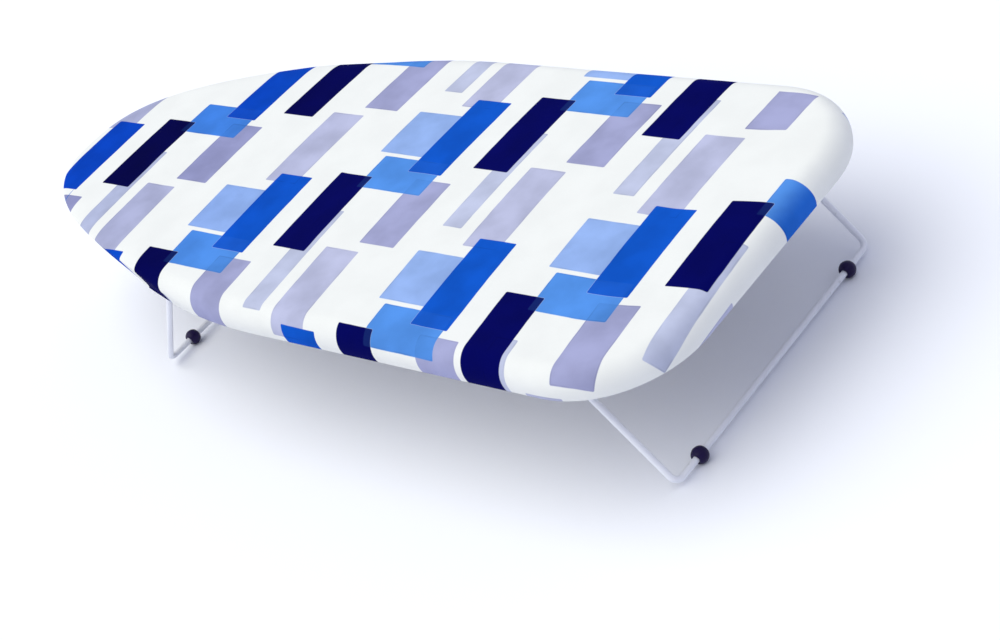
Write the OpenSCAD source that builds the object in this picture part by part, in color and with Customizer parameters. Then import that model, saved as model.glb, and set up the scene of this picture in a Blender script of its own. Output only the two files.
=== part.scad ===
// Tabletop ironing board on two folding wire legs.
// +X runs from the rounded nose to the square end, +Y across the board, +Z up.
// The origin is on the table, under the middle of the board.

/* [Board] */
// Length from the nose to the square end
board_length = 730; // [600:10:900]
// Width at the widest place
board_width = 328; // [290:2:360]
// Height of the ironing surface above the table
board_height = 125; // [115:1:170]
// X of the widest place, where the nose curve meets the sides
widest_x = -54; // [-100:1:-20]
// Power of the nose curve, higher is blunter
nose_power = 2.6; // [2:0.05:3.2]
// Radius of the two corners at the square end
corner_r = 83; // [50:1:100]

/* [Cover and pad] */
// Thickness of the printed cotton
cover_t = 0.8; // [0.6:0.1:1]
// Thickness of the foam pad
pad_t = 6; // [4:0.5:8]
// Radius of the soft edge over which the cover rolls
edge_roll = 16; // [12:1:18]
// Height of the covered edge
edge_height = 22; // [20:0.5:24]
// Share of the soft edge that the stretched cover flattens at the nose
nose_squeeze = 0.8; // [0:0.05:0.8]
// Width of the sewn hem that holds the elastic
hem_width = 7; // [6:0.5:8]
// How much further the hem is pulled in under the nose
nose_tuck = 18; // [8:1:22]

/* [Frame] */
// Distance from the cover's edge in to the rim strip
rim_inset = 6; // [5:0.5:8]
// Thickness of the rim strip
rim_t = 1.5; // [1:0.1:2]
// Height of the rim strip
rim_height = 9; // [8:0.5:10]
// Thickness of the expanded top sheet
mesh_t = 1.2; // [0.8:0.1:1.6]
// Long pitch of the diamond openings
diamond_x = 44; // [36:1:60]
// Short pitch of the diamond openings
diamond_y = 24; // [20:1:32]
// Width of the pressed cross bars
bar_width = 24; // [22:1:30]

/* [Legs] */
// Diameter of the leg wire
wire_d = 5; // [4:0.5:6]
// Width across the two uprights of a leg, centre to centre
leg_span = 255; // [235:1:258]
// Splay of the open legs from vertical
splay = 34.2; // [30:0.1:38]
// X of the nose leg's foot bar
nose_foot_x = -205; // [-220:1:-190]
// X of the rear leg's foot bar
rear_foot_x = 331; // [310:1:340]
// Diameter of the bead feet
bead_d = 13; // [12:0.5:15]
// Width of the bead feet along the wire
bead_width = 9.5; // [8:0.5:11]
// Distance between the two feet of a leg
bead_span = 198; // [170:2:210]

/* [Hidden] */
$fn = 64;

half_length = board_length / 2;
half_width = board_width / 2;
nose_reach = widest_x + half_length;
bend = 60;
tuck_start_x = -150;
tuck_full_x = -280;
squeeze_start_x = -60;
squeeze_full_x = -200;

mesh_top_z = board_height - cover_t - pad_t;
mesh_z = mesh_top_z - mesh_t;
rim_z = mesh_z - rim_height;
edge_z = board_height - edge_height;
hem_t = 2.6;
hem_inset = 3.5;
wall_inset = 0.3;
skirt_inset = 1;

sheet_t = 1.5;
bar_depth = 4.5;
bar_z = mesh_z - sheet_t;
bracket_z = bar_z - sheet_t;
bracket_length = 20;
pivot_z = edge_z + 4;
ear_r = 4;
ear_inner_y = 96;
ear_outer_y = 114;
bore_d = wire_d + 0.1;
stop_gap = 0.3;
bend_r = 7;
stub_end_y = 92;
cap_d = 9;
cap_t = 1.2;
cap_y = 93.6;
rivet_d = 4;
rivet_head_d = 7;
rivet_head_t = 1.6;
rivet_ys = [101.5, 109.5];

leg_rise = pivot_z - bead_d / 2;
leg_length = leg_rise / cos(splay);
leg_reach = leg_rise * tan(splay);
nose_pivot_x = nose_foot_x + leg_reach;
rear_pivot_x = rear_foot_x - leg_reach;
middle_x = (nose_pivot_x + rear_pivot_x) / 2;

// Outline of the board: a power curve round the nose, a soft bend at the widest place,
// a straight side, and an arc at the square end
function nose_point(s) = [nose_reach * pow(s, nose_power) - half_length, half_width * s];
function nose_slope(s) = half_width / (nose_reach * nose_power * pow(s, nose_power - 1));
function curve(a, b, c, t) = a * pow(1 - t, 2) + b * 2 * t * (1 - t) + c * t * t;
function corner_point(a) =
  [half_length - corner_r * (1 - cos(a)), half_width - corner_r * (1 - sin(a))];

bend_s = pow((nose_reach - bend) / nose_reach, 1 / nose_power);
bend_a = nose_point(bend_s);
bend_b = [bend_a[0] + (half_width - bend_a[1]) / nose_slope(bend_s), half_width];
bend_c = [widest_x + bend, half_width];

nose_steps = 18;
bend_steps = 6;
side_steps = 5;
corner_steps = 10;
half_outline = concat(
  [for (i = [0 : nose_steps]) nose_point(bend_s * i / nose_steps)],
  [for (i = [1 : bend_steps]) curve(bend_a, bend_b, bend_c, i / bend_steps)],
  [for (i = [1 : side_steps - 1])
    [bend_c[0] + (half_length - corner_r - bend_c[0]) * i / side_steps, half_width]],
  [for (i = [0 : corner_steps]) corner_point(90 - 90 * i / corner_steps)],
  [[half_length, 0]]
);
last = len(half_outline) - 1;
outline = concat(
  [for (i = [0 : last]) [half_outline[i][0], -half_outline[i][1]]],
  [for (i = [last - 1 : -1 : 1]) half_outline[i]]
);
count = len(outline);

function outward(i) =
  let (step = outline[(i + 1) % count] - outline[(i + count - 1) % count])
  [step[1], -step[0]] / norm(step);
function smooth(t) = let (u = min(max(t, 0), 1)) u * u * (3 - 2 * u);
function tuck(x) = nose_tuck * smooth((tuck_start_x - x) / (tuck_start_x - tuck_full_x));
function squeeze(x) =
  nose_squeeze * smooth((squeeze_start_x - x) / (squeeze_start_x - squeeze_full_x));
function inset_outline(inset, tuck_share = 0, squeeze_inset = 0) =
  [for (i = [0 : count - 1])
    let (x = outline[i][0])
    outline[i] - outward(i) * (inset + tuck_share * tuck(x) + squeeze_inset * squeeze(x))];

// One loop of points; a level is its inset and height away from the nose,
// its share of the nose tuck, and how far the squeeze at the nose moves it in and up
function loop(level) =
  let (points = inset_outline(level[0], level[2], level[3]))
  [for (i = [0 : count - 1])
    [points[i][0], points[i][1], level[1] + level[4] * squeeze(outline[i][0])]];

// Levels of a soft edge that rolls down from the flat top
roll_steps = 6;
function roll_levels(depth) =
  let (r = edge_roll - depth)
  [for (i = [0 : roll_steps])
    let (a = 90 * i / roll_steps)
    [depth + r * (1 - sin(a)), board_height - depth - r * (1 - cos(a)), 0, 0, r * (1 - cos(a))]];
function reversed(list) = [for (i = [len(list) - 1 : -1 : 0]) list[i]];

// Closed solid through a list of levels, with a flat face on the first and the last
module lofted(levels) {
  rings = len(levels);
  polyhedron(
    points = [for (level = levels) each loop(level)],
    faces = concat(
      [[for (j = [count - 1 : -1 : 0]) j]],
      [for (i = [0 : rings - 2], j = [0 : count - 1])
        let (a = i * count + j, b = i * count + (j + 1) % count) [a, b, b + count]],
      [for (i = [0 : rings - 2], j = [0 : count - 1])
        let (a = i * count + j, b = i * count + (j + 1) % count) [a, b + count, a + count]],
      [[for (j = [0 : count - 1]) (rings - 1) * count + j]]
    )
  );
}

// Flat plate with the board's outline
module plate(inset, z, t, tuck_share = 0) {
  translate([0, 0, z])
    linear_extrude(t)
      polygon(inset_outline(inset, tuck_share));
}

// Band that follows the board's outline
module band(inset, width, z, t, tuck_share = 0) {
  translate([0, 0, z])
    linear_extrude(t)
      difference() {
        polygon(inset_outline(inset, tuck_share));
        polygon(inset_outline(inset + width, tuck_share));
      }
}

module cover() {
  color([0.93, 0.94, 1])
    lofted(concat(
      roll_levels(0),
      [
        [wall_inset, edge_z + 3, 0.1, 4, 0],
        [skirt_inset, edge_z + 0.7, 0.8, 1.8, 0],
        [hem_inset - cover_t, edge_z, 1, 0, 0],
        [hem_inset - 0.1, edge_z, 1, 0, 0],
        [hem_inset - 0.1, edge_z + cover_t, 1, 0, 0],
        [skirt_inset + cover_t, edge_z + 1.3, 0.8, 1.8, 0],
        [wall_inset + cover_t, edge_z + 3.2, 0.1, 4, 0]
      ],
      reversed(roll_levels(cover_t))
    ));
}

module hem_casing() {
  color([0.88, 0.9, 1])
    difference() {
      band(hem_inset, hem_width, edge_z, hem_t, 1);
      band(hem_inset + 0.8, hem_width - 1.6, edge_z + 0.6, hem_t - 1.2, 1);
    }
}

module hem_elastic() {
  color("white")
    band(hem_inset + 1, hem_width - 2, edge_z + 0.7, hem_t - 1.4, 1);
}

module pad() {
  gap = 0.45;
  lap_z = board_height - edge_roll - 0.2;
  color([0.96, 0.93, 0.8])
    lofted(concat(
      roll_levels(cover_t + gap),
      [
        [2.6, lap_z, 0, 1, 7],
        [rim_inset - gap, lap_z, 0, 0, 7],
        [rim_inset - gap, mesh_top_z, 0, 0, 0]
      ]
    ));
}

module diamond() {
  web = 0.86;
  polygon([
    [-diamond_x / 2 * web, 0],
    [0, -diamond_y / 2 * web],
    [diamond_x / 2 * web, 0],
    [0, diamond_y / 2 * web]
  ]);
}

// A diamond is cut only where all of it is inside the solid border
border = 12;
function in_board(x, y) =
  let (dx = diamond_x / 2 + border, dy = diamond_y / 2 + border)
  abs(y) < half_width - dy
  && x + dx < half_length
  && (x > widest_x
    || abs(y) + dy < half_width * pow(max(0, x - dx + half_length) / nose_reach, 1 / nose_power))
  && (x + dx < half_length - corner_r
    || abs(y) + dy < half_width - corner_r
    || norm([x + dx - half_length + corner_r, abs(y) + dy / 2 - half_width + corner_r]) < corner_r);

module mesh_top() {
  columns = floor(board_length / diamond_x);
  rows = ceil(board_width / diamond_y);
  color([0.8, 0.82, 0.9])
    translate([0, 0, mesh_z])
      linear_extrude(mesh_t)
        difference() {
          polygon(inset_outline(rim_inset));
          for (i = [-columns : columns], j = [-rows : rows])
            if ((i + j) % 2 == 0 && in_board(i * diamond_x / 2, j * diamond_y / 2))
              translate([i * diamond_x / 2, j * diamond_y / 2])
                diamond();
        }
}

module rim_frame() {
  color([0.82, 0.84, 0.92])
    band(rim_inset, rim_t, rim_z, rim_height);
}

// Pressed channel under the top sheet, welded to the rim at both ends
module cross_bar(x) {
  hollow = bar_width - 2 * sheet_t;
  color([0.82, 0.84, 0.92])
    difference() {
      intersection() {
        translate([x - bar_width / 2, -half_width, mesh_z - bar_depth])
          cube([bar_width, board_width, bar_depth]);
        plate(rim_inset + rim_t, mesh_z - bar_depth - 1, bar_depth + 1);
      }
      translate([x - hollow / 2, -half_width, mesh_z - bar_depth - 1])
        cube([hollow, board_width, bar_depth - sheet_t + 1]);
      if (x != middle_x)
        rivet_places(x)
          cylinder(d = rivet_d, h = bracket_length, center = true);
    }
}

// The four rivets of one cross bar
module rivet_places(x) {
  for (side = [-1, 1], y = rivet_ys)
    translate([x, side * y, bar_z])
      children();
}

module rivets() {
  color([0.75, 0.77, 0.84])
    for (x = [nose_pivot_x, rear_pivot_x])
      rivet_places(x) {
        translate([0, 0, -sheet_t])
          cylinder(d = rivet_d, h = 2 * sheet_t);
        translate([0, 0, -sheet_t - rivet_head_t])
          intersection() {
            cylinder(d = rivet_head_d, h = rivet_head_t);
            translate([0, 0, rivet_head_d / 2])
              sphere(d = rivet_head_d + 1);
          }
      }
}

// Ear with the bore for the leg's end
module ear(y) {
  translate([0, y + sheet_t, 0])
    rotate([90, 0, 0])
      cylinder(r = ear_r, h = sheet_t);
  translate([-ear_r, y, 0])
    cube([2 * ear_r, sheet_t, bracket_z - pivot_z + 0.1]);
}

// Folded saddle on the +Y side of a leg that opens toward -X; its tongue is the leg's stop
module bracket_shape() {
  tongue_y = 120.5;
  tongue_width = 7.5;
  tongue_up = 5.2;
  tongue_down = 7.5;
  difference() {
    union() {
      translate([-bracket_length / 2, ear_inner_y, bracket_z - pivot_z])
        cube([bracket_length, tongue_y + tongue_width - ear_inner_y, sheet_t]);
      ear(ear_inner_y);
      ear(ear_outer_y);
      rotate([0, splay, 0])
        translate([-wire_d / 2 - stop_gap - sheet_t, tongue_y, -tongue_down])
          cube([sheet_t, tongue_width, tongue_up + tongue_down]);
    }
    translate([0, ear_inner_y - 1, 0])
      rotate([-90, 0, 0])
        cylinder(d = bore_d, h = ear_outer_y + sheet_t - ear_inner_y + 2);
    for (y = rivet_ys)
      translate([0, y, bracket_z - pivot_z - 1])
        cylinder(d = rivet_d, h = sheet_t + 2);
  }
}

// toward is -1 for the nose leg and 1 for the rear leg, side is 1 for +Y and -1 for -Y
module bracket(x, toward, side) {
  color([0.7, 0.72, 0.8])
    translate([x, 0, pivot_z])
      mirror([toward > 0 ? 1 : 0, 0, 0])
        mirror([0, side < 0 ? 1 : 0, 0])
          bracket_shape();
}

// Places a leg part that is drawn hanging straight down from the pivot
module open_leg(x, toward) {
  translate([x, 0, pivot_z])
    rotate([0, -toward * splay, 0])
      children();
}

module elbow() {
  rotate_extrude(angle = 90)
    translate([bend_r, 0])
      circle(d = wire_d);
}

module leg_wire(x, toward) {
  half_span = leg_span / 2;
  color([0.86, 0.88, 0.96])
    open_leg(x, toward) {
      translate([0, 0, -leg_length])
        rotate([90, 0, 0])
          cylinder(d = wire_d, h = leg_span - 2 * bend_r, center = true);
      for (side = [0, 1])
        mirror([0, side, 0]) {
          translate([0, half_span, -leg_length + bend_r])
            cylinder(d = wire_d, h = leg_length - 2 * bend_r);
          translate([0, stub_end_y, 0])
            rotate([-90, 0, 0])
              cylinder(d = wire_d, h = half_span - bend_r - stub_end_y);
          translate([0, half_span - bend_r, -bend_r])
            rotate([90, 0, 90])
              elbow();
          translate([0, half_span - bend_r, -leg_length + bend_r])
            rotate([0, 90, 0])
              elbow();
        }
    }
}

module foot(x, toward, side) {
  color([0.1, 0.06, 0.22])
    open_leg(x, toward)
      translate([0, side * bead_span / 2, -leg_length])
        rotate([90, 0, 0])
          rotate_extrude()
            intersection() {
              circle(d = bead_d);
              translate([wire_d / 2, -bead_width / 2])
                square([bead_d, bead_width]);
            }
}

// Push-on caps that keep the leg's ends in their brackets
module leg_caps(x, toward) {
  color([0.75, 0.77, 0.84])
    open_leg(x, toward)
      for (side = [0, 1])
        mirror([0, side, 0])
          translate([0, cap_y, 0])
            rotate([-90, 0, 0])
              difference() {
                cylinder(d = cap_d, h = cap_t);
                translate([0, 0, -1])
                  cylinder(d = wire_d, h = cap_t + 2);
              }
}

cover();
hem_casing();
hem_elastic();
pad();
mesh_top();
rim_frame();
cross_bar(nose_pivot_x);  // nose_bar
cross_bar(middle_x);  // middle_bar
cross_bar(rear_pivot_x);  // rear_bar
bracket(nose_pivot_x, -1, 1);  // nose_bracket_left
bracket(nose_pivot_x, -1, -1);  // nose_bracket_right
bracket(rear_pivot_x, 1, 1);  // rear_bracket_left
bracket(rear_pivot_x, 1, -1);  // rear_bracket_right
rivets();  // bracket_rivets
leg_wire(nose_pivot_x, -1);  // nose_leg_wire
foot(nose_pivot_x, -1, 1);  // nose_foot_left
foot(nose_pivot_x, -1, -1);  // nose_foot_right
leg_caps(nose_pivot_x, -1);  // nose_leg_caps
leg_wire(rear_pivot_x, 1);  // rear_leg_wire
foot(rear_pivot_x, 1, 1);  // rear_foot_left
foot(rear_pivot_x, 1, -1);  // rear_foot_right
leg_caps(rear_pivot_x, 1);  // rear_leg_caps
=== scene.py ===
import math
import bmesh
import bpy
import numpy as np
from mathutils import Matrix, Vector


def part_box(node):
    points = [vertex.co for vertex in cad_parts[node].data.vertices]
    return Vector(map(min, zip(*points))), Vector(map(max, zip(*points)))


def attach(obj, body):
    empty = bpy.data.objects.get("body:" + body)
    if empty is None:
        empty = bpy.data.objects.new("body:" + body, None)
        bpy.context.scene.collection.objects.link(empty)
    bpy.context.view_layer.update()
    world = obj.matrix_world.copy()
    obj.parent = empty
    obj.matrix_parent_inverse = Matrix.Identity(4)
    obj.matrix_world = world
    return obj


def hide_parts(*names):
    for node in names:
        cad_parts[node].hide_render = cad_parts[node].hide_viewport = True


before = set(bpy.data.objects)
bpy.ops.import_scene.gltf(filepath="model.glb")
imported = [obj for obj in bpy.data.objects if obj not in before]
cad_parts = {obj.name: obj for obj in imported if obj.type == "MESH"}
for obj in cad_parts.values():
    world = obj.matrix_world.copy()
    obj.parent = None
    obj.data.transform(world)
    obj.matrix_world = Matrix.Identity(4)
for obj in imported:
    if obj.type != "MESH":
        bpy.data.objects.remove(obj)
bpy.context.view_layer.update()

scene = bpy.context.scene
scene.view_settings.view_transform = "Standard"
mm = 0.001

print("camera, lights and floor")
camera = {"place": (1.1599, -0.8254, 0.8988), "aim": (0.22318, -0.12146, 0.125), "roll": -25.24,
          "lens": 75.66, "near": 0.05}
lamps = {       # wide sun lamps stand in for large soft boxes, so the floor is lit evenly
    "key": {"place": (-0.75, -0.85, 2.2), "spread": 80.0, "power": 2.55, "colour": (1.0, 0.99, 0.87)},
    "fill": {"place": (0.7, 1.3, 1.9), "spread": 70.0, "power": 0.35, "colour": (0.92, 0.95, 1.0)},
}
room = {"light": (0.77, 0.81, 1.0), "strength": 0.50, "floor": (0.87, 0.89, 0.97, 1), "floorHalf": 9.0,
        "lampAim": (0, 0, 0.1)}


def lookAt(place, aim, roll=0.0):
    turn = (Vector(aim) - Vector(place)).to_track_quat("-Z", "Y").to_matrix().to_4x4()
    return Matrix.Translation(place) @ turn @ Matrix.Rotation(math.radians(roll), 4, "Z")


def addStudio():
    lensData = bpy.data.cameras.new("camera")
    lensData.lens = camera["lens"]
    lensData.clip_start = camera["near"]
    cameraObject = bpy.data.objects.new("camera", lensData)
    cameraObject.matrix_world = lookAt(camera["place"], camera["aim"], camera["roll"])
    scene.collection.objects.link(cameraObject)
    scene.camera = cameraObject
    for name, lamp in lamps.items():
        lightData = bpy.data.lights.new(name, "SUN")
        lightData.angle = math.radians(lamp["spread"])
        lightData.energy = lamp["power"]
        lightData.color = lamp["colour"]
        lightObject = bpy.data.objects.new(name, lightData)
        lightObject.matrix_world = lookAt(lamp["place"], room["lampAim"])
        scene.collection.objects.link(lightObject)
    world = bpy.data.worlds.new("studio")
    world.use_nodes = True
    background = world.node_tree.nodes["Background"]
    background.inputs["Color"].default_value = (*room["light"], 1)
    background.inputs["Strength"].default_value = room["strength"]
    scene.world = world


addStudio()


# Small helpers for node trees
def addNode(tree, kind, inputs=None, **settings):
    node = tree.nodes.new(kind)
    for key, value in settings.items():
        setattr(node, key, value)
    for key, value in (inputs or {}).items():
        if isinstance(value, bpy.types.NodeSocket):
            tree.links.new(value, node.inputs[key])
        else:
            node.inputs[key].default_value = value
    return node


def calc(tree, operation, *values):
    return addNode(tree, "ShaderNodeMath", dict(enumerate(values)), operation=operation).outputs[0]


def ramp(tree, value, fromLow, fromHigh, toLow=0.0, toHigh=1.0):
    inputs = {"Value": value, "From Min": fromLow, "From Max": fromHigh, "To Min": toLow, "To Max": toHigh}
    return addNode(tree, "ShaderNodeMapRange", inputs, interpolation_type="SMOOTHSTEP").outputs[0]


def mixColour(tree, share, under, over, blend="MIX"):
    node = addNode(tree, "ShaderNodeMix", {0: share, 6: under, 7: over}, data_type="RGBA", blend_type=blend)
    return node.outputs[2]


def objectSpot(tree):
    return addNode(tree, "ShaderNodeTexCoord").outputs["Object"]


def noise(tree, vector, scale, detail=2.0):
    inputs = {"Vector": vector, "Scale": scale, "Detail": detail}
    return addNode(tree, "ShaderNodeTexNoise", inputs).outputs[0]


def startMaterial(name, **sockets):
    material = bpy.data.materials.new(name)
    material.use_nodes = True
    shader = material.node_tree.nodes["Principled BSDF"]
    for socket, value in sockets.items():
        shader.inputs[socket.replace("_", " ")].default_value = value
    return material, material.node_tree, shader


def tinted(tree, colour, value):
    grey = addNode(tree, "ShaderNodeCombineColor", {0: value, 1: value, 2: value}).outputs[0]
    return mixColour(tree, 1.0, colour, grey, "MULTIPLY")


def bumped(tree, shader, height, strength, distance):
    inputs = {"Height": height, "Strength": strength, "Distance": distance}
    bump = addNode(tree, "ShaderNodeBump", inputs)
    tree.links.new(bump.outputs[0], shader.inputs["Normal"])


# The print repeats on a slanted lattice; sizes are millimetres of flat cloth from the royal block's corner
printLattice = {"start": (-106.6, -11.2), "pitch": 123.9, "rise": 115.8, "period": 267.0}
# Over the roll at the square end the azure is painted deeper, from 350 to 370 mm: partly painted shade of the
# end wall, partly deeper ink
printCloth = {"bow": 0.0003, "bowFrom": 60.0, "joinAt": 198.0, "joinDrop": 57.0, "wander": 0.5,
              "pull": 2.0, "pullFrom": -20.0, "pullLength": 560.0, "pullAll": 1.0, "lean": 0.006,
              "endFrom": 275.0, "endTo": 355.0, "endPull": 7.5, "shadedDeepFrom": 350.0, "shadedDeepTo": 370.0,
              "denseFrom": -20.0, "denseTo": -280.0, "dense": 1.22}
swatches = {       # left, right, bottom, top, ink
    "lavender": (-11.0, 24.0, -10.0, 81.0, (0.437, 0.456, 0.640, 1)),
    "sliver": (80.0, 99.5, -145.0, -31.0, (0.460, 0.495, 0.665, 1)),
    "dusk": (16.0, 53.0, -176.0, -100.0, (0.325, 0.338, 0.550, 1)),
    "sky": (-46.0, 2.0, -75.0, -22.0, (0.267, 0.400, 0.742, 1)),
    "royal": (0.0, 36.0, -93.0, 0.0, (0.0045, 0.084, 0.520, 1)),
    "navy": (59.5, 95.0, -79.5, 11.0, (0.0008, 0.0014, 0.092, 1)),
    "azure": (-36.0, 33.0, -118.0, -79.0, (0.079, 0.254, 0.700, 1)),
}
leftOut = {        # places where the print has a gap: x, y and half the gap's width
    "sky": [(357.0, 86.0, 60.0), (-253.0, 93.0, 48.0), (-378.0, -25.0, 45.0)],
    "sliver": [(-138.0, 52.0, 64.0)],
    "azure": [(-360.0, -78.0, 42.0)],
    "dusk": [(295.0, 207.0, 60.0)],
}
# The deeper azure colour below is partly painted shade for the shaded end wall, partly deeper ink
ink = {"round": 1.2, "soft": 0.35, "rimIn": 0.7, "rimReach": 0.8, "rimCore": 0.1, "rimDepth": 0.16,
       "covered": 0.94, "onDusk": 0.08, "azureShadedDeep": (0.018, 0.125, 0.560, 1)}
cotton = {"white": (0.79, 0.805, 0.805, 1), "yarn": 0.55 * mm, "grainShare": 0.8, "bump": 0.22,
          "depth": 0.12 * mm, "wanderScale": 45.0, "cloudScale": 28.0, "grainScale": 900.0,
          "patchScale": 60.0}


def makeSwatchGroup():
    group = bpy.data.node_groups.new("printed_swatch", "ShaderNodeTree")
    for name in ("U", "V", "CentreX", "CentreY", "HalfX", "HalfY"):
        group.interface.new_socket(name, in_out="INPUT", socket_type="NodeSocketFloat")
    for name in ("Ink", "Rim"):
        group.interface.new_socket(name, in_out="OUTPUT", socket_type="NodeSocketFloat")
    given = addNode(group, "NodeGroupInput").outputs
    result = addNode(group, "NodeGroupOutput")
    pitch, rise, period = printLattice["pitch"], printLattice["rise"], printLattice["period"]
    across = calc(group, "SUBTRACT", given["U"], given["CentreX"])
    inColumn = calc(group, "WRAP", across, pitch / 2, -pitch / 2)
    column = calc(group, "DIVIDE", calc(group, "SUBTRACT", across, inColumn), pitch)
    along = calc(group, "SUBTRACT", given["V"], given["CentreY"])
    along = calc(group, "SUBTRACT", along, calc(group, "MULTIPLY", column, rise))
    inRow = calc(group, "WRAP", along, period / 2, -period / 2)
    past = []
    for place, half in ((inColumn, "HalfX"), (inRow, "HalfY")):
        inner = calc(group, "SUBTRACT", given[half], ink["round"])
        past.append(calc(group, "SUBTRACT", calc(group, "ABSOLUTE", place), inner))
    square = [calc(group, "POWER", calc(group, "MAXIMUM", side, 0.0), 2.0) for side in past]
    corner = calc(group, "SQRT", calc(group, "ADD", *square))
    inside = calc(group, "MINIMUM", calc(group, "MAXIMUM", *past), 0.0)
    distance = calc(group, "SUBTRACT", calc(group, "ADD", corner, inside), ink["round"])
    printed = ramp(group, distance, ink["soft"], -ink["soft"])
    fromRim = calc(group, "ABSOLUTE", calc(group, "ADD", distance, ink["rimIn"]))
    rimLine = ramp(group, fromRim, ink["rimReach"], ink["rimCore"])
    group.links.new(printed, result.inputs["Ink"])
    group.links.new(rimLine, result.inputs["Rim"])
    return group


def makePrintedCotton():
    material, tree, shader = startMaterial(
        "printed_cotton", Roughness=0.85, Specular_IOR_Level=0.015, Sheen_Weight=0.006, Sheen_Roughness=0.5)
    flat = addNode(tree, "ShaderNodeUVMap", uv_map="cloth").outputs[0]
    parts = addNode(tree, "ShaderNodeSeparateXYZ", {0: flat}).outputs
    inputs = {"Vector": flat, "Scale": cotton["wanderScale"], "Detail": 3.0}
    wander = addNode(tree, "ShaderNodeTexNoise", inputs).outputs[1]
    wanderParts = addNode(tree, "ShaderNodeSeparateXYZ", {0: wander}).outputs
    spots = []
    for part, shake in zip(parts[:2], wanderParts[:2]):
        offset = calc(tree, "MULTIPLY", calc(tree, "SUBTRACT", shake, 0.5), 2 * printCloth["wander"])
        spots.append(calc(tree, "ADD", calc(tree, "MULTIPLY", part, 1 / mm), offset))
    fromBow = calc(tree, "SUBTRACT", spots[1], printCloth["bowFrom"])
    bowed = calc(tree, "MULTIPLY", calc(tree, "MULTIPLY", fromBow, fromBow), printCloth["bow"])
    u = calc(tree, "SUBTRACT", spots[0], bowed)
    join = calc(tree, "GREATER_THAN", u, printCloth["joinAt"])
    fromPull = calc(tree, "SUBTRACT", u, printCloth["pullFrom"])
    turn = calc(tree, "COSINE", calc(tree, "MULTIPLY", fromPull, 2 * math.pi / printCloth["pullLength"]))
    pulled = calc(tree, "ADD", calc(tree, "MULTIPLY", turn, printCloth["pull"]), printCloth["pullAll"])
    u = calc(tree, "SUBTRACT", u, pulled)
    v = calc(tree, "ADD", spots[1], calc(tree, "MULTIPLY", fromPull, printCloth["lean"]))
    v = calc(tree, "ADD", v, calc(tree, "MULTIPLY", join, printCloth["joinDrop"]))
    endPull = ramp(tree, spots[0], printCloth["endFrom"], printCloth["endTo"], 0.0, printCloth["endPull"])
    u = calc(tree, "ADD", u, endPull)
    v = calc(tree, "SUBTRACT", v, endPull)

    cloud = noise(tree, flat, cotton["cloudScale"], 3.0)
    grain = noise(tree, flat, cotton["grainScale"])
    colour = tinted(tree, cotton["white"], ramp(tree, cloud, 0.3, 0.7, 0.965, 1.0))
    density = ramp(tree, spots[0], printCloth["denseFrom"], printCloth["denseTo"], 1.0, printCloth["dense"])
    group = makeSwatchGroup()
    inks = {}
    rims = []
    for name, (left, right, bottom, top, inkColour) in swatches.items():
        inputs = {
            "U": u, "V": v,
            "CentreX": printLattice["start"][0] + (left + right) / 2,
            "CentreY": printLattice["start"][1] + (bottom + top) / 2,
            "HalfX": (right - left) / 2, "HalfY": (top - bottom) / 2,
        }
        swatch = tree.nodes.new("ShaderNodeGroup")
        swatch.node_tree = group
        for key, value in inputs.items():
            if key in "UV":
                tree.links.new(value, swatch.inputs[key])
            else:
                swatch.inputs[key].default_value = value
        printed = swatch.outputs["Ink"]
        for *gap, reach in leftOut.get(name, []):
            away = [calc(tree, "ABSOLUTE", calc(tree, "SUBTRACT", spot, middle))
                    for spot, middle in zip(spots, gap)]
            kept = calc(tree, "GREATER_THAN", calc(tree, "MAXIMUM", *away), reach)
            printed = calc(tree, "MULTIPLY", printed, kept)
        inks[name] = printed
        if name not in ("royal", "navy"):
            rims.append(calc(tree, "MULTIPLY", swatch.outputs["Rim"], printed))
        share = printed
        shade = ramp(tree, cloud, 0.25, 0.75, 0.86, 1.1)
        if name == "azure":      # the azure ink is thin, so it only tints the two dark blocks
            dark = calc(tree, "MULTIPLY", calc(tree, "MAXIMUM", inks["royal"], inks["navy"]), ink["covered"])
            share = calc(tree, "MULTIPLY", printed, calc(tree, "SUBTRACT", 1.0, dark))
            shade = calc(tree, "SUBTRACT", shade, calc(tree, "MULTIPLY", inks["dusk"], ink["onDusk"]))
            # over the end roll the azure turns to a deeper blue: partly painted shade of the end wall, partly
            # deeper ink
            shadedDeep = ramp(tree, spots[0], printCloth["shadedDeepFrom"], printCloth["shadedDeepTo"])
            inkColour = mixColour(tree, shadedDeep, inkColour, ink["azureShadedDeep"])
        laidInk = addNode(tree, "ShaderNodeGamma", {"Color": inkColour, "Gamma": density}).outputs[0]
        colour = mixColour(tree, share, colour, tinted(tree, laidInk, shade))
    rim = rims[0]
    for line in rims[1:]:
        rim = calc(tree, "MAXIMUM", rim, line)
    patchy = ramp(tree, noise(tree, flat, cotton["patchScale"]), 0.4, 0.65, 0.0, ink["rimDepth"])
    colour = tinted(tree, colour, calc(tree, "SUBTRACT", 1.0, calc(tree, "MULTIPLY", rim, patchy)))

    turns = [calc(tree, "MULTIPLY", part, math.pi / cotton["yarn"]) for part in parts[:2]]
    waves = [calc(tree, "SINE", turn) for turn in turns]
    overUnder = calc(tree, "MULTIPLY", *waves)
    ribs = calc(tree, "MULTIPLY", *[calc(tree, "ABSOLUTE", wave) for wave in waves])
    weave = calc(tree, "ADD", calc(tree, "MULTIPLY", overUnder, 0.5), ribs)
    yarns = calc(tree, "ADD", weave, calc(tree, "MULTIPLY", grain, cotton["grainShare"]))
    colour = tinted(tree, colour, ramp(tree, yarns, -0.2, 1.6, 0.965, 1.01))
    tree.links.new(colour, shader.inputs["Base Color"])
    tree.links.new(ramp(tree, grain, 0.3, 0.7, 0.78, 0.92), shader.inputs["Roughness"])
    bumped(tree, shader, yarns, cotton["bump"], cotton["depth"])
    return material


plainCloth = {"fuzzScale": 1200.0, "cloudScale": 40.0, "bump": 0.4}


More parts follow.
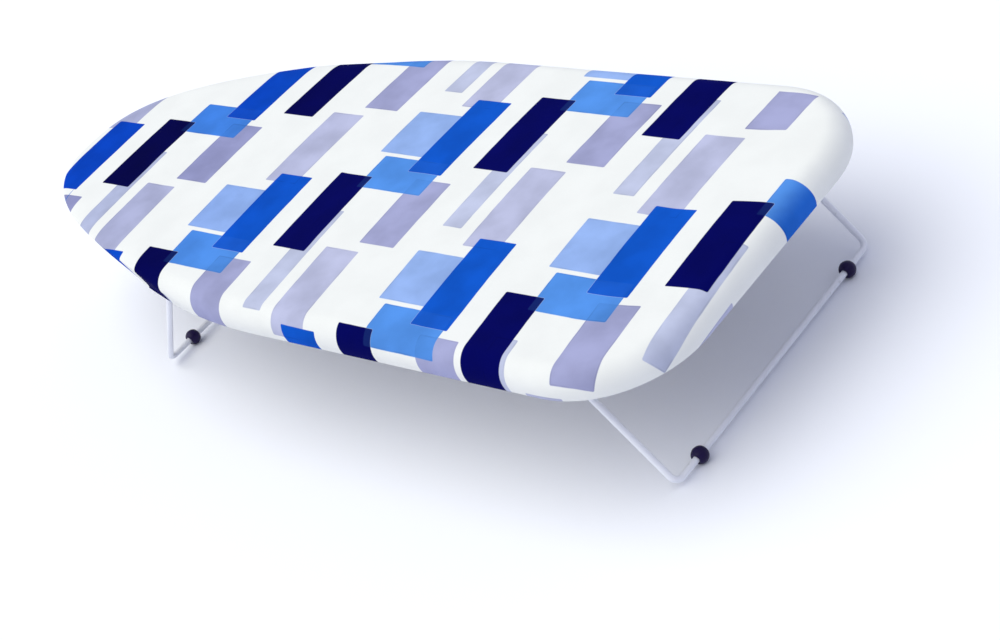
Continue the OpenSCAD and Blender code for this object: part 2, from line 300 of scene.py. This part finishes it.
def makePlainCloth(name, colour, yarn, depth):
    material, tree, shader = startMaterial(name, Roughness=0.9, Specular_IOR_Level=0.15, Sheen_Weight=0.08)
    spot = objectSpot(tree)
    parts = addNode(tree, "ShaderNodeSeparateXYZ", {0: spot}).outputs
    waves = [calc(tree, "SINE", calc(tree, "MULTIPLY", part, math.pi / yarn)) for part in parts[:2]]
    weave = calc(tree, "ADD", calc(tree, "MULTIPLY", *waves), noise(tree, spot, plainCloth["fuzzScale"]))
    colour = tinted(tree, colour, ramp(tree, weave, -0.5, 1.5, 0.88, 1.0))
    cloud = noise(tree, spot, plainCloth["cloudScale"])
    colour = tinted(tree, colour, ramp(tree, cloud, 0.3, 0.7, 0.95, 1.0))
    tree.links.new(colour, shader.inputs["Base Color"])
    bumped(tree, shader, weave, plainCloth["bump"], depth)
    return material


foam = {"colour": (0.83, 0.76, 0.58, 1), "cellScale": 900.0, "cloudScale": 25.0, "bump": 0.6,
        "depth": 0.4 * mm}


def makeFoam():
    material, tree, shader = startMaterial("cream_foam", Roughness=0.95, Specular_IOR_Level=0.1)
    spot = objectSpot(tree)
    inputs = {"Vector": spot, "Scale": foam["cellScale"]}
    cells = addNode(tree, "ShaderNodeTexVoronoi", inputs).outputs["Distance"]
    colour = tinted(tree, foam["colour"], ramp(tree, cells, 0.1, 0.7, 1.0, 0.72))
    colour = tinted(tree, colour, ramp(tree, noise(tree, spot, foam["cloudScale"]), 0.3, 0.7, 0.92, 1.0))
    tree.links.new(colour, shader.inputs["Base Color"])
    bumped(tree, shader, cells, foam["bump"], foam["depth"])
    return material


powder = {"peelScale": 900.0, "hazeScale": 22.0, "rubScale": 160.0, "rubbed": (0.45, 0.46, 0.50, 1),
          "rubShare": 0.35, "smoother": 0.06, "rougher": 0.08, "depth": 0.1 * mm}


def makePowderCoat(name, colour, roughness, peel=0.10):
    material, tree, shader = startMaterial(name, Roughness=roughness, Coat_Weight=0.15, Coat_Roughness=0.3)
    spot = objectSpot(tree)
    orange = noise(tree, spot, powder["peelScale"], 1.0)
    haze = noise(tree, spot, powder["hazeScale"], 4.0)
    rubbed = ramp(tree, noise(tree, spot, powder["rubScale"], 6.0), 0.66, 0.72, 0.0, powder["rubShare"])
    tone = tinted(tree, colour, ramp(tree, haze, 0.3, 0.7, 0.94, 1.0))
    tone = mixColour(tree, rubbed, tone, powder["rubbed"])
    tree.links.new(tone, shader.inputs["Base Color"])
    uneven = ramp(tree, haze, 0.25, 0.75, roughness - powder["smoother"], roughness + powder["rougher"])
    tree.links.new(uneven, shader.inputs["Roughness"])
    bumped(tree, shader, orange, peel, powder["depth"])
    return material


zinc = {"colour": (0.62, 0.64, 0.68, 1), "spangleScale": 1400.0, "grainScale": 1500.0, "bump": 0.08,
        "depth": 0.1 * mm}


def makeZinc():
    material, tree, shader = startMaterial("zinc_plate", Metallic=1.0, Roughness=0.35)
    spot = objectSpot(tree)
    inputs = {"Vector": spot, "Scale": zinc["spangleScale"]}
    spangle = addNode(tree, "ShaderNodeTexVoronoi", inputs).outputs["Color"]
    level = addNode(tree, "ShaderNodeRGBToBW", {0: spangle}).outputs[0]
    tone = tinted(tree, zinc["colour"], ramp(tree, level, 0.0, 1.0, 0.8, 1.0))
    tree.links.new(tone, shader.inputs["Base Color"])
    tree.links.new(ramp(tree, level, 0.0, 1.0, 0.28, 0.45), shader.inputs["Roughness"])
    bumped(tree, shader, noise(tree, spot, zinc["grainScale"]), zinc["bump"], zinc["depth"])
    return material


rubber = {"colour": (0.008, 0.002, 0.045, 1), "dust": (0.06, 0.05, 0.14, 1), "dustScale": 240.0,
          "patchScale": 120.0, "grainScale": 1800.0, "bump": 0.12, "depth": 0.1 * mm}


def makeBeadRubber():
    material, tree, shader = startMaterial("bead_rubber", Roughness=0.4, Specular_IOR_Level=0.2)
    spot = objectSpot(tree)
    dust = ramp(tree, noise(tree, spot, rubber["dustScale"], 5.0), 0.5, 0.75, 0.0, 0.12)
    tone = mixColour(tree, dust, rubber["colour"], rubber["dust"])
    tree.links.new(tone, shader.inputs["Base Color"])
    patches = noise(tree, spot, rubber["patchScale"])
    tree.links.new(ramp(tree, patches, 0.3, 0.7, 0.32, 0.5), shader.inputs["Roughness"])
    bumped(tree, shader, noise(tree, spot, rubber["grainScale"]), rubber["bump"], rubber["depth"])
    return material


def makeFloorPaint():      # clear from below, so that the floor never hides the underside of the board
    material, tree, shader = startMaterial("floor_paint", Roughness=0.9, Specular_IOR_Level=0.0)
    shader.inputs["Base Color"].default_value = room["floor"]
    below = addNode(tree, "ShaderNodeNewGeometry").outputs["Backfacing"]
    clear = addNode(tree, "ShaderNodeBsdfTransparent").outputs[0]
    mixed = addNode(tree, "ShaderNodeMixShader", {0: below, 1: shader.outputs[0], 2: clear}).outputs[0]
    tree.links.new(mixed, tree.nodes["Material Output"].inputs["Surface"])
    return material


print("materials")
printedCotton = makePrintedCotton()
hemCotton = makePlainCloth("hem_cotton", (0.80, 0.81, 0.84, 1), 0.6 * mm, 0.15 * mm)
threadCotton = makePlainCloth("stitch_thread", (0.74, 0.75, 0.80, 1), 0.35 * mm, 0.1 * mm)
elasticBraid = makePlainCloth("elastic_braid", (0.78, 0.78, 0.76, 1), 1.1 * mm, 0.3 * mm)
creamFoam = makeFoam()
framePaint = makePowderCoat("frame_powder_coat", (0.66, 0.68, 0.76, 1), 0.42)
bracketPaint = makePowderCoat("bracket_powder_coat", (0.58, 0.60, 0.68, 1), 0.38)
legPaint = makePowderCoat("leg_powder_coat", (0.82, 0.84, 0.93, 1), 0.33, 0.08)
zincPlate = makeZinc()
beadRubber = makeBeadRubber()
floorPaint = makeFloorPaint()


def makePiece(name, points, faces, material):
    mesh = bpy.data.meshes.new(name)
    mesh.from_pydata([tuple(point) for point in points], [], [tuple(face) for face in faces])
    mesh.polygons.foreach_set("use_smooth", [True] * len(mesh.polygons))
    mesh.materials.append(material)
    piece = bpy.data.objects.new(name, mesh)
    scene.collection.objects.link(piece)
    return piece


def applyModifiers(piece):
    evaluated = piece.evaluated_get(bpy.context.evaluated_depsgraph_get())
    plain = bpy.data.meshes.new_from_object(evaluated)
    piece.modifiers.clear()
    piece.data = plain


print("outline of the board")
lowCorner, highCorner = (Vector(corner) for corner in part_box("cover"))
edgeZ, topZ = lowCorner.z, highCorner.z
halfLength, halfWidth = highCorner.x, highCorner.y
outlineShape = {"nosePower": 2.6, "widest": -54 * mm, "bend": 60 * mm, "cornerRadius": 83 * mm,
                "points": 720, "noseSteps": 600, "bendSteps": 80, "cornerSteps": 120}
noseShape = {"tuck": 18 * mm, "tuckFrom": -150 * mm, "tuckTo": -280 * mm,
             "squeeze": 0.8, "squeezeFrom": -60 * mm, "squeezeTo": -200 * mm}
roll = 16 * mm


def smooth(value):
    value = np.clip(value, 0, 1)
    return value * value * (3 - 2 * value)


def halfOutline():
    shape = outlineShape
    reach = shape["widest"] + halfLength
    share = ((reach - shape["bend"]) / reach) ** (1 / shape["nosePower"])
    s = np.linspace(0, share, shape["noseSteps"])
    nose = np.c_[reach * s ** shape["nosePower"] - halfLength, halfWidth * s]
    slope = halfWidth / (reach * shape["nosePower"] * share ** (shape["nosePower"] - 1))
    start, finish = nose[-1], np.array([shape["widest"] + shape["bend"], halfWidth])
    middle = np.array([start[0] + (halfWidth - start[1]) / slope, halfWidth])
    t = np.linspace(0, 1, shape["bendSteps"])[1:, None]
    bend = start * (1 - t) ** 2 + middle * 2 * t * (1 - t) + finish * t * t
    turn = np.linspace(0, math.pi / 2, shape["cornerSteps"])
    radius = shape["cornerRadius"]
    corner = np.c_[halfLength - radius * (1 - np.sin(turn)), halfWidth - radius * (1 - np.cos(turn))]
    return np.vstack([nose, bend, corner, [[halfLength, 0]]])


def evenOutline(count):
    half = halfOutline()
    ring = np.vstack([half * [1, -1], half[::-1][1:]])
    along = np.r_[0, np.cumsum(np.hypot(*np.diff(ring, axis=0).T))]
    wanted = np.linspace(0, along[-1], count, endpoint=False)
    evenRing = np.c_[np.interp(wanted, along, ring[:, 0]), np.interp(wanted, along, ring[:, 1])]
    return evenRing, wanted, along[-1]


outline, aroundEdge, edgeLength = evenOutline(outlineShape["points"])
count = len(outline)
step = np.roll(outline, -1, 0) - np.roll(outline, 1, 0)
outward = np.c_[step[:, 1], -step[:, 0]] / np.hypot(*step.T)[:, None]
tuck = noseShape["tuck"] * smooth(
    (noseShape["tuckFrom"] - outline[:, 0]) / (noseShape["tuckFrom"] - noseShape["tuckTo"]))
squeeze = noseShape["squeeze"] * smooth(
    (noseShape["squeezeFrom"] - outline[:, 0]) / (noseShape["squeezeFrom"] - noseShape["squeezeTo"]))


def ringAt(inset, height, tuckShare=0.0, squeezeInset=0.0, lift=0.0):
    flat = outline - outward * (inset + tuckShare * tuck + squeezeInset * squeeze)[:, None]
    return np.c_[flat, height + lift * squeeze]


def rollLevels(depth, steps):
    r = roll - depth
    turns = np.linspace(0, math.pi / 2, steps)
    return [(depth + r * (1 - math.sin(a)), topZ - depth - r * (1 - math.cos(a)), 0, 0, r * (1 - math.cos(a)))
            for a in turns]


def throughLevels(levels, steps):      # a soft curve through the listed levels
    padded = [levels[0], *levels, levels[-1]]
    found = []
    for before, start, finish, after in zip(padded, padded[1:], padded[2:], padded[3:]):
        p0, p1, p2, p3 = (np.array(level, float) for level in (before, start, finish, after))
        for t in np.linspace(0, 1, steps, endpoint=False):
            found.append(0.5 * (2 * p1 + (p2 - p0) * t + (2 * p0 - 5 * p1 + 4 * p2 - p3) * t * t
                                + (3 * p1 - p0 - 3 * p2 + p3) * t ** 3))
    return found + [np.array(levels[-1], float)]


# Rings from a ring on the flat face in to the board's middle line
middleLine = {"from": -0.215, "to": 0.255}


def inwardRings(rim, rings, height):
    spine = np.c_[np.clip(rim[:, 0], middleLine["from"], middleLine["to"]), np.zeros(count)]
    for share in np.linspace(0, 1, rings + 1)[1:]:
        yield np.c_[rim[:, :2] * (1 - share) + spine * share, np.full(count, height)]


def ringFaces(rings):
    faces = []
    for ring in range(rings - 1):
        for i in range(count):
            a, b = ring * count + i, ring * count + (i + 1) % count
            faces.append((a, a + count, b + count, b))
    return faces


def loopFaces(rows, columns):      # a closed section carried round a closed path
    faces = []
    for row in range(rows):
        after = (row + 1) % rows
        for i in range(columns):
            j = (i + 1) % columns
            faces.append((row * columns + i, after * columns + i, after * columns + j, row * columns + j))
    return faces


tiny = 1e-6


def closeMesh(piece, mergeDistance=0.0):      # joins doubles where asked, and points the faces outwards
    work = bmesh.new()
    work.from_mesh(piece.data)
    if mergeDistance:
        bmesh.ops.remove_doubles(work, verts=work.verts, dist=mergeDistance)
        bmesh.ops.dissolve_degenerate(work, edges=work.edges, dist=tiny)
    bmesh.ops.recalc_face_normals(work, faces=work.faces)
    work.to_mesh(piece.data)
    work.free()


def waves(along, lengths, seed):       # unsteady waves along the edge, about -1 to 1
    draw = np.random.default_rng(seed)
    total = np.zeros_like(along)
    for length in lengths:
        turns = round(edgeLength / length)
        total += np.sin(2 * math.pi * turns * along / edgeLength + draw.uniform(0, 2 * math.pi))
    return total / len(lengths) ** 0.5


def softGround(x, y, seed, lengths):   # slow rise and fall over the whole top
    draw = np.random.default_rng(seed)
    total = np.zeros_like(x)
    for length in lengths:
        angle = draw.uniform(0, math.pi)
        total += np.sin((x * math.cos(angle) + y * math.sin(angle)) * 2 * math.pi / length
                        + draw.uniform(0, 2 * math.pi))
    return total / len(lengths)


cover = {"topRings": 34, "rollSteps": 13, "skirtSteps": 6, "thickness": 0.5 * mm, "middleMerge": 0.2 * mm,
         "sag": 0.25 * mm, "sagSeed": 3, "sagLengths": (0.05, 0.08, 0.12, 0.19), "sagBias": 1.2,
         "sideGather": 0.35 * mm, "cornerGather": 0.9 * mm, "gatherLengths": (0.009, 0.0125, 0.017, 0.026),
         "gatherSeed": 11, "gatherFrom": 0.52, "gatherOver": 0.45, "pullIn": 0.3 * mm, "pullSteps": 6}
skirtLevels = [       # inset, height over the edge, share of the tuck, squeeze
    (0.3 * mm, 3 * mm, 0.1, 4 * mm),
    (1.0 * mm, 0.7 * mm, 0.8, 1.8 * mm),
    (2.7 * mm, 0.15 * mm, 1, 0),
    (4.6 * mm, 0.3 * mm, 1, 0),
]
gatherPlaces = {"noseFrom": -0.18, "noseOver": 0.12, "cornerFrom": 0.255, "cornerOver": 0.04,
                "cornerTurn": 1.45}


def gatherAmount():      # more cloth has to be taken up round the nose and the two corners
    place = gatherPlaces
    turning = np.abs(np.arctan2(outward[:, 1], outward[:, 0])) < place["cornerTurn"]
    atNose = smooth((place["noseFrom"] - outline[:, 0]) / place["noseOver"])
    atCorner = smooth((outline[:, 0] - place["cornerFrom"]) / place["cornerOver"]) * turning
    return cover["sideGather"] + (cover["cornerGather"] - cover["sideGather"]) * np.maximum(atNose, atCorner)


gathers = gatherAmount() * waves(aroundEdge, cover["gatherLengths"], cover["gatherSeed"])


def coverSag(ring):
    ground = softGround(ring[:, 0], ring[:, 1], cover["sagSeed"], cover["sagLengths"])
    return cover["sag"] * (ground - cover["sagBias"])


def makeCover():
    skirt = [(inset, edgeZ + height, *shares, 0) for inset, height, *shares in skirtLevels]
    lower = throughLevels([(0, topZ - roll, 0, 0, roll), *skirt], cover["skirtSteps"])[1:]
    levels = rollLevels(0, cover["rollSteps"]) + lower
    outer = [ringAt(*level) for level in levels]
    rim = outer[0]
    travel = np.zeros(count)
    flats = []
    for k, ring in enumerate(outer):
        if k:
            travel = travel + np.linalg.norm(ring - outer[k - 1], axis=1)
        flats.append(rim[:, :2] + outward * travel[:, None])
    inner = list(inwardRings(rim, cover["topRings"], topZ))
    placed = []
    for ring in reversed(inner):
        placed.append(ring + np.c_[np.zeros((count, 2)), coverSag(ring)])
    below = len(lower)
    for k, ring in enumerate(outer):
        under = max(0, k - cover["rollSteps"] + 1) / below
        fade = 1 - smooth(np.full(count, k / cover["rollSteps"]))
        amount = gathers * smooth((under - cover["gatherFrom"]) / cover["gatherOver"])
        pullIn = cover["pullIn"] * min(1, k / cover["pullSteps"])
        side = ring.copy()
        side[:, :2] -= outward * np.maximum(amount + pullIn, 0)[:, None]
        side[:, 2] += coverSag(ring) * fade
        placed.append(side)
    points = np.vstack(placed)
    flatPoints = np.vstack([ring[:, :2] for ring in reversed(inner)] + flats)
    piece = makePiece("printed_cover", points, ringFaces(len(placed)), printedCotton)
    layer = piece.data.uv_layers.new(name="cloth")
    corners = np.zeros(len(piece.data.loops), int)
    piece.data.loops.foreach_get("vertex_index", corners)
    layer.data.foreach_set("uv", flatPoints[corners].ravel())
    closeMesh(piece, cover["middleMerge"])
    wall = piece.modifiers.new("wall", "SOLIDIFY")
    wall.thickness = cover["thickness"]
    wall.offset = -1
    last = flats[-1]
    area = 0.5 * abs(np.sum(last[:, 0] * np.roll(last[:, 1], -1) - last[:, 1] * np.roll(last[:, 0], -1)))
    size = np.ptp(last, axis=0)
    return piece, (float(size[1]), float(size[0])), float(area)


print("printed cover")
printedCover, flatSize, flatArea = makeCover()
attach(printedCover, "board")
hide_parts("cover")


def loopedBand(name, section, wave, material):     # closed section of (inset, height) carried round the edge
    rings = []
    for inset, height, swing in section:
        ring = ringAt(inset, height, 1)
        ring[:, 2] += wave * swing
        rings.append(ring)
    piece = makePiece(name, np.vstack(rings), loopFaces(len(rings), count), material)
    closeMesh(piece)
    return piece


def ovalSection(inset, width, low, height, points, squareness, swing):
    section = []
    for a in np.linspace(0, 2 * math.pi, points, endpoint=False):
        across = math.copysign(abs(math.cos(a)) ** squareness, math.cos(a))
        up = math.copysign(abs(math.sin(a)) ** squareness, math.sin(a))
        place = (inset + width * (1 + across) / 2, low + height * (1 + up) / 2)
        section.append((*place, swing * (0.6 + 0.4 * across)))      # the inner side swings most
    return section


hem = {"inset": 3.2 * mm, "width": 7 * mm, "lift": 0.5 * mm, "height": 1.7 * mm, "points": 14,
       "squareness": 0.6, "swing": 0.8, "pucker": 0.45 * mm, "puckerLengths": (0.0065, 0.009, 0.013, 0.02),
       "puckerSeed": 5}


def makeHem():
    pucker = hem["pucker"] * waves(aroundEdge, hem["puckerLengths"], hem["puckerSeed"])
    section = ovalSection(hem["inset"], hem["width"], edgeZ + hem["lift"], hem["height"], hem["points"],
                          hem["squareness"], hem["swing"])
    return loopedBand("hem_casing_gathered", section, pucker, hemCotton), pucker


elastic = {"inset": 4.7 * mm, "width": 4.2 * mm, "lift": 1.0 * mm, "thickness": 0.8 * mm, "points": 10,
           "squareness": 0.4, "swing": 0.5, "ribDepth": 0.06 * mm, "ribPitch": 0.009}


def makeElastic():
    ribCount = round(edgeLength / elastic["ribPitch"])
    ribs = elastic["ribDepth"] * np.sin(2 * math.pi * aroundEdge * ribCount / edgeLength)
    section = ovalSection(elastic["inset"], elastic["width"], edgeZ + elastic["lift"], elastic["thickness"],
                          elastic["points"], elastic["squareness"], elastic["swing"])
    return loopedBand("elastic_band", section, ribs, elasticBraid)


print("hem and elastic")
hemCasing, hemPucker = makeHem()
elasticBand = makeElastic()
for piece, node, slot in ((hemCasing, "hem_casing", "hem_cotton"), (elasticBand, "hem_elastic", "elastic")):
    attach(piece, "board")
    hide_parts(node)


# Geometry Nodes helpers
def startTree(name, inputs):
    tree = bpy.data.node_groups.new(name, "GeometryNodeTree")
    tree.interface.new_socket("Geometry", in_out="INPUT", socket_type="NodeSocketGeometry")
    for socket, kind in inputs.items():
        tree.interface.new_socket(socket, in_out="INPUT", socket_type=kind)
    tree.interface.new_socket("Geometry", in_out="OUTPUT", socket_type="NodeSocketGeometry")
    return tree, addNode(tree, "NodeGroupInput").outputs, addNode(tree, "NodeGroupOutput").inputs[0]


def finishTree(tree, geometry, material, output):
    real = addNode(tree, "GeometryNodeRealizeInstances", {0: geometry}).outputs[0]
    painted = addNode(tree, "GeometryNodeSetMaterial", {0: real, "Material": material}).outputs[0]
    tree.links.new(painted, output)


def growTree(piece, tree, values):
    modifier = piece.modifiers.new(tree.name, "NODES")
    modifier.node_group = tree
    sockets = {item.name: item.identifier for item in tree.interface.items_tree if item.in_out == "INPUT"}
    for name, value in values.items():
        modifier[sockets[name]] = value
    applyModifiers(piece)


def stitchTree():
    tree, given, output = startTree("hem_stitching", {
        "Pitch": "NodeSocketFloat", "Length": "NodeSocketFloat", "Thread": "NodeSocketFloat"})
    path = addNode(tree, "GeometryNodeMeshToCurve", {0: given["Geometry"]}).outputs[0]
    spots = addNode(tree, "GeometryNodeCurveToPoints", {0: path, "Length": given["Pitch"]}, mode="LENGTH")
    bead = addNode(tree, "GeometryNodeMeshUVSphere", {"Segments": 7, "Rings": 5, "Radius": 0.5}).outputs[0]
    size = addNode(tree, "ShaderNodeCombineXYZ", {0: given["Thread"], 1: given["Thread"], 2: given["Length"]})
    shaped = addNode(tree, "GeometryNodeTransform", {0: bead, "Scale": size.outputs[0]}).outputs[0]
    shaped = addNode(tree, "GeometryNodeSetShadeSmooth", {0: shaped}).outputs[0]
    inputs = {"Points": spots.outputs[0], "Instance": shaped, "Rotation": spots.outputs["Rotation"]}
    finishTree(tree, addNode(tree, "GeometryNodeInstanceOnPoints", inputs).outputs[0], threadCotton, output)
    return tree


stitch = {"pitch": 3.2 * mm, "length": 2.4 * mm, "thread": 0.45 * mm, "inset": 8.9 * mm, "lift": 0.55 * mm,
          "puckerShare": 0.5}


def makeStitches():
    path = ringAt(stitch["inset"], edgeZ + stitch["lift"], 1)
    path[:, 2] += hemPucker * stitch["puckerShare"]
    mesh = bpy.data.meshes.new("hem_stitches")
    mesh.from_pydata([tuple(point) for point in path], [(i, (i + 1) % count) for i in range(count)], [])
    piece = bpy.data.objects.new("hem_stitches", mesh)
    scene.collection.objects.link(piece)
    growTree(piece, stitchTree(),
             {"Pitch": stitch["pitch"], "Length": stitch["length"], "Thread": stitch["thread"]})
    return piece


hemStitches = makeStitches()
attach(hemStitches, "board")

strand = {"longPitch": 24 * mm, "shortPitch": 12 * mm, "width": 2.3 * mm, "thickness": 0.9 * mm, "tilt": 14.0,
          "inset": 8.5 * mm, "lap": 1.03}      # each strand runs a little into the next
border = {"outer": 6.2 * mm, "inner": 16 * mm, "innerTop": 15.5 * mm, "bevel": 0.4 * mm}
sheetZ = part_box("mesh_top")[0][2]
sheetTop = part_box("mesh_top")[1][2]


def inOutline(points, ring):
    inside = np.zeros(len(points), bool)
    x, y = points[:, 0], points[:, 1]
    for (x0, y0), (x1, y1) in zip(ring, np.roll(ring, -1, 0)):
        crosses = (y0 > y) != (y1 > y)
        if y1 != y0:
            inside ^= crosses & (x < (x1 - x0) * (y - y0) / (y1 - y0) + x0)
    return inside


def latticeEdges():
    reach = int(halfLength / strand["longPitch"]) + int(halfWidth / strand["shortPitch"]) + 3
    keys = [(m, n) for m in range(-reach, reach) for n in range(-reach, reach)]
    places = np.array([((m + n + 1) * strand["longPitch"] / 2, (m - n) * strand["shortPitch"] / 2)
                       for m, n in keys])
    inside = inOutline(places, ringAt(strand["inset"], 0)[::4, :2])
    number = {key: i for i, key in enumerate(k for k, ok in zip(keys, inside) if ok)}
    points = [(*place, (sheetZ + sheetTop) / 2) for place, ok in zip(places, inside) if ok]
    edges = []
    for (m, n), i in number.items():
        edges += [(i, number[other]) for other in ((m + 1, n), (m, n + 1)) if other in number]
    return points, edges


def strandTree():
    tree, given, output = startTree("expanded_strands", {
        "Width": "NodeSocketFloat", "Thickness": "NodeSocketFloat", "Tilt": "NodeSocketFloat",
        "Lap": "NodeSocketFloat"})
    apart = addNode(tree, "GeometryNodeSplitEdges", {0: given["Geometry"]}).outputs[0]
    inputs = {0: apart, "Scale": given["Lap"]}
    lapped = addNode(tree, "GeometryNodeScaleElements", inputs, domain="EDGE").outputs[0]
    path = addNode(tree, "GeometryNodeMeshToCurve", {0: lapped}).outputs[0]
    path = addNode(tree, "GeometryNodeSetCurveTilt", {0: path, "Tilt": given["Tilt"]}).outputs[0]
    profile = addNode(tree, "GeometryNodeCurvePrimitiveQuadrilateral",
                      {"Width": given["Width"], "Height": given["Thickness"]}).outputs[0]
    inputs = {"Curve": path, "Profile Curve": profile, "Fill Caps": True}
    finishTree(tree, addNode(tree, "GeometryNodeCurveToMesh", inputs).outputs[0], framePaint, output)
    return tree


def makeExpandedTop():
    points, edges = latticeEdges()
    mesh = bpy.data.meshes.new("expanded_top")
    mesh.from_pydata(points, edges, [])
    piece = bpy.data.objects.new("expanded_top", mesh)
    scene.collection.objects.link(piece)
    growTree(piece, strandTree(), {"Width": strand["width"], "Thickness": strand["thickness"],
                                   "Tilt": math.radians(strand["tilt"]), "Lap": strand["lap"]})
    section = [("outer", sheetZ), ("outer", sheetTop), ("innerTop", sheetTop),
               ("inner", sheetTop - border["bevel"]), ("inner", sheetZ)]
    rings = [ringAt(border[side], height) for side, height in section]
    work = bmesh.new()
    work.from_mesh(piece.data)
    verts = [work.verts.new(point) for point in np.vstack(rings)]
    added = [work.faces.new([verts[i] for i in face]) for face in loopFaces(len(rings), count)]
    bmesh.ops.recalc_face_normals(work, faces=added)
    work.to_mesh(piece.data)
    work.free()
    return piece


print("expanded top sheet")
expandedTop = makeExpandedTop()
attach(expandedTop, "board")
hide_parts("mesh_top")

pad = {"gap": 1.15 * mm, "rollSteps": 9, "topRings": 16, "rings": 62, "bulge": 0.5 * mm, "lapDrop": 0.2 * mm,
       "wallInset": 5.6 * mm, "wallDrop": 2 * mm, "bottomInset": 14 * mm, "nosePull": 7 * mm,
       "overSheet": 0.02 * mm, "middleMerge": 0.2 * mm}
lapLevels = [       # inset, lift, squeeze
    (2.0 * mm, 0.6 * mm, 1 * mm),
    (3.2 * mm, 0, 1 * mm),
    (4.8 * mm, 0, 0.5 * mm),
    (5.5 * mm, 0.8 * mm, 0),
]


def makePad():
    lapZ = topZ - roll - pad["lapDrop"]
    edge = [ringAt(*level) for level in rollLevels(pad["gap"], pad["rollSteps"])]
    top = list(inwardRings(edge[0], pad["topRings"], topZ - pad["gap"]))
    under = [ringAt(inset, lapZ + lift, 0, squeezed, pad["nosePull"]) for inset, lift, squeezed in lapLevels]
    under += [ringAt(pad["wallInset"], sheetTop - pad["wallDrop"]),
              ringAt(border["outer"], sheetTop + pad["overSheet"])]
    bottom = list(inwardRings(ringAt(pad["bottomInset"], sheetTop), pad["rings"], sheetTop))
    for ring in bottom:
        a = ring[:, 0] / strand["longPitch"] + ring[:, 1] / strand["shortPitch"]
        b = ring[:, 0] / strand["longPitch"] - ring[:, 1] / strand["shortPitch"]
        ring[:, 2] -= pad["bulge"] * (np.cos(math.pi * a) * np.cos(math.pi * b)) ** 2
    flatRing = ringAt(pad["bottomInset"], sheetTop + pad["overSheet"])
    rings = list(reversed(top)) + edge + under + [flatRing] + bottom
    piece = makePiece("foam_pad", np.vstack(rings), ringFaces(len(rings)), creamFoam)
    closeMesh(piece, pad["middleMerge"])
    return piece


print("foam pad")
foamPad = makePad()
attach(foamPad, "board")
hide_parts("pad")

bead = {"round": 0.9 * mm, "seam": 0.12 * mm, "seamHalf": 0.2 * mm, "bore": 2.55 * mm, "boreStep": 0.3 * mm,
        "boreDepth": 0.4 * mm, "shoulder": 0.25 * mm, "inside": 0.12 * mm, "rows": 17, "turns": 48}


def makeBead(node, name):
    low, high = (Vector(corner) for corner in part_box(node))
    middle = (low + high) / 2
    radius, halfWide = (high.x - low.x) / 2, (high.y - low.y) / 2
    faceRadius = math.sqrt(radius ** 2 - halfWide ** 2)
    profile = [(bead["bore"], -halfWide + bead["boreDepth"]), (bead["bore"] + bead["boreStep"], -halfWide),
               (faceRadius - bead["round"] / 2, -halfWide)]
    shoulder = halfWide - bead["shoulder"]
    for along in np.linspace(-shoulder, shoulder, bead["rows"]):
        seam = bead["seam"] if abs(along) < bead["seamHalf"] else 0
        profile.append((math.sqrt(radius ** 2 - along ** 2) - bead["inside"] + seam, along))
    profile += [(r, -along) for r, along in reversed(profile[:3])]
    points = []
    for r, along in profile:
        for a in 2 * math.pi * np.arange(bead["turns"]) / bead["turns"]:
            points.append((middle.x + r * math.cos(a), middle.y + along, middle.z + r * math.sin(a)))
    piece = makePiece(name, points, loopFaces(len(profile), bead["turns"]), beadRubber)
    closeMesh(piece, tiny)
    return piece


print("bead feet")
for leg in ("nose", "rear"):
    for side in ("left", "right"):
        node = f"{leg}_foot_{side}"
        beadFoot = makeBead(node, f"{leg}_bead_{side}")
        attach(beadFoot, f"{leg}_leg")
        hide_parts(node)

print("paint on the metal parts")
metalParts = {
    framePaint: ("rim_frame", "nose_bar", "middle_bar", "rear_bar"),
    bracketPaint: ("nose_bracket_left", "nose_bracket_right", "rear_bracket_left", "rear_bracket_right"),
    legPaint: ("nose_leg_wire", "rear_leg_wire"),
    zincPlate: ("bracket_rivets", "nose_leg_caps", "rear_leg_caps"),
}
for paint, nodes in metalParts.items():
    for node in nodes:
        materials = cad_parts[node].data.materials
        materials.clear()
        materials.append(paint)

print("floor")
half = room["floorHalf"]
floorPlane = makePiece("floor", [(-half, -half, 0), (half, -half, 0), (half, half, 0), (-half, half, 0)],
                       [(0, 1, 2, 3)], floorPaint)
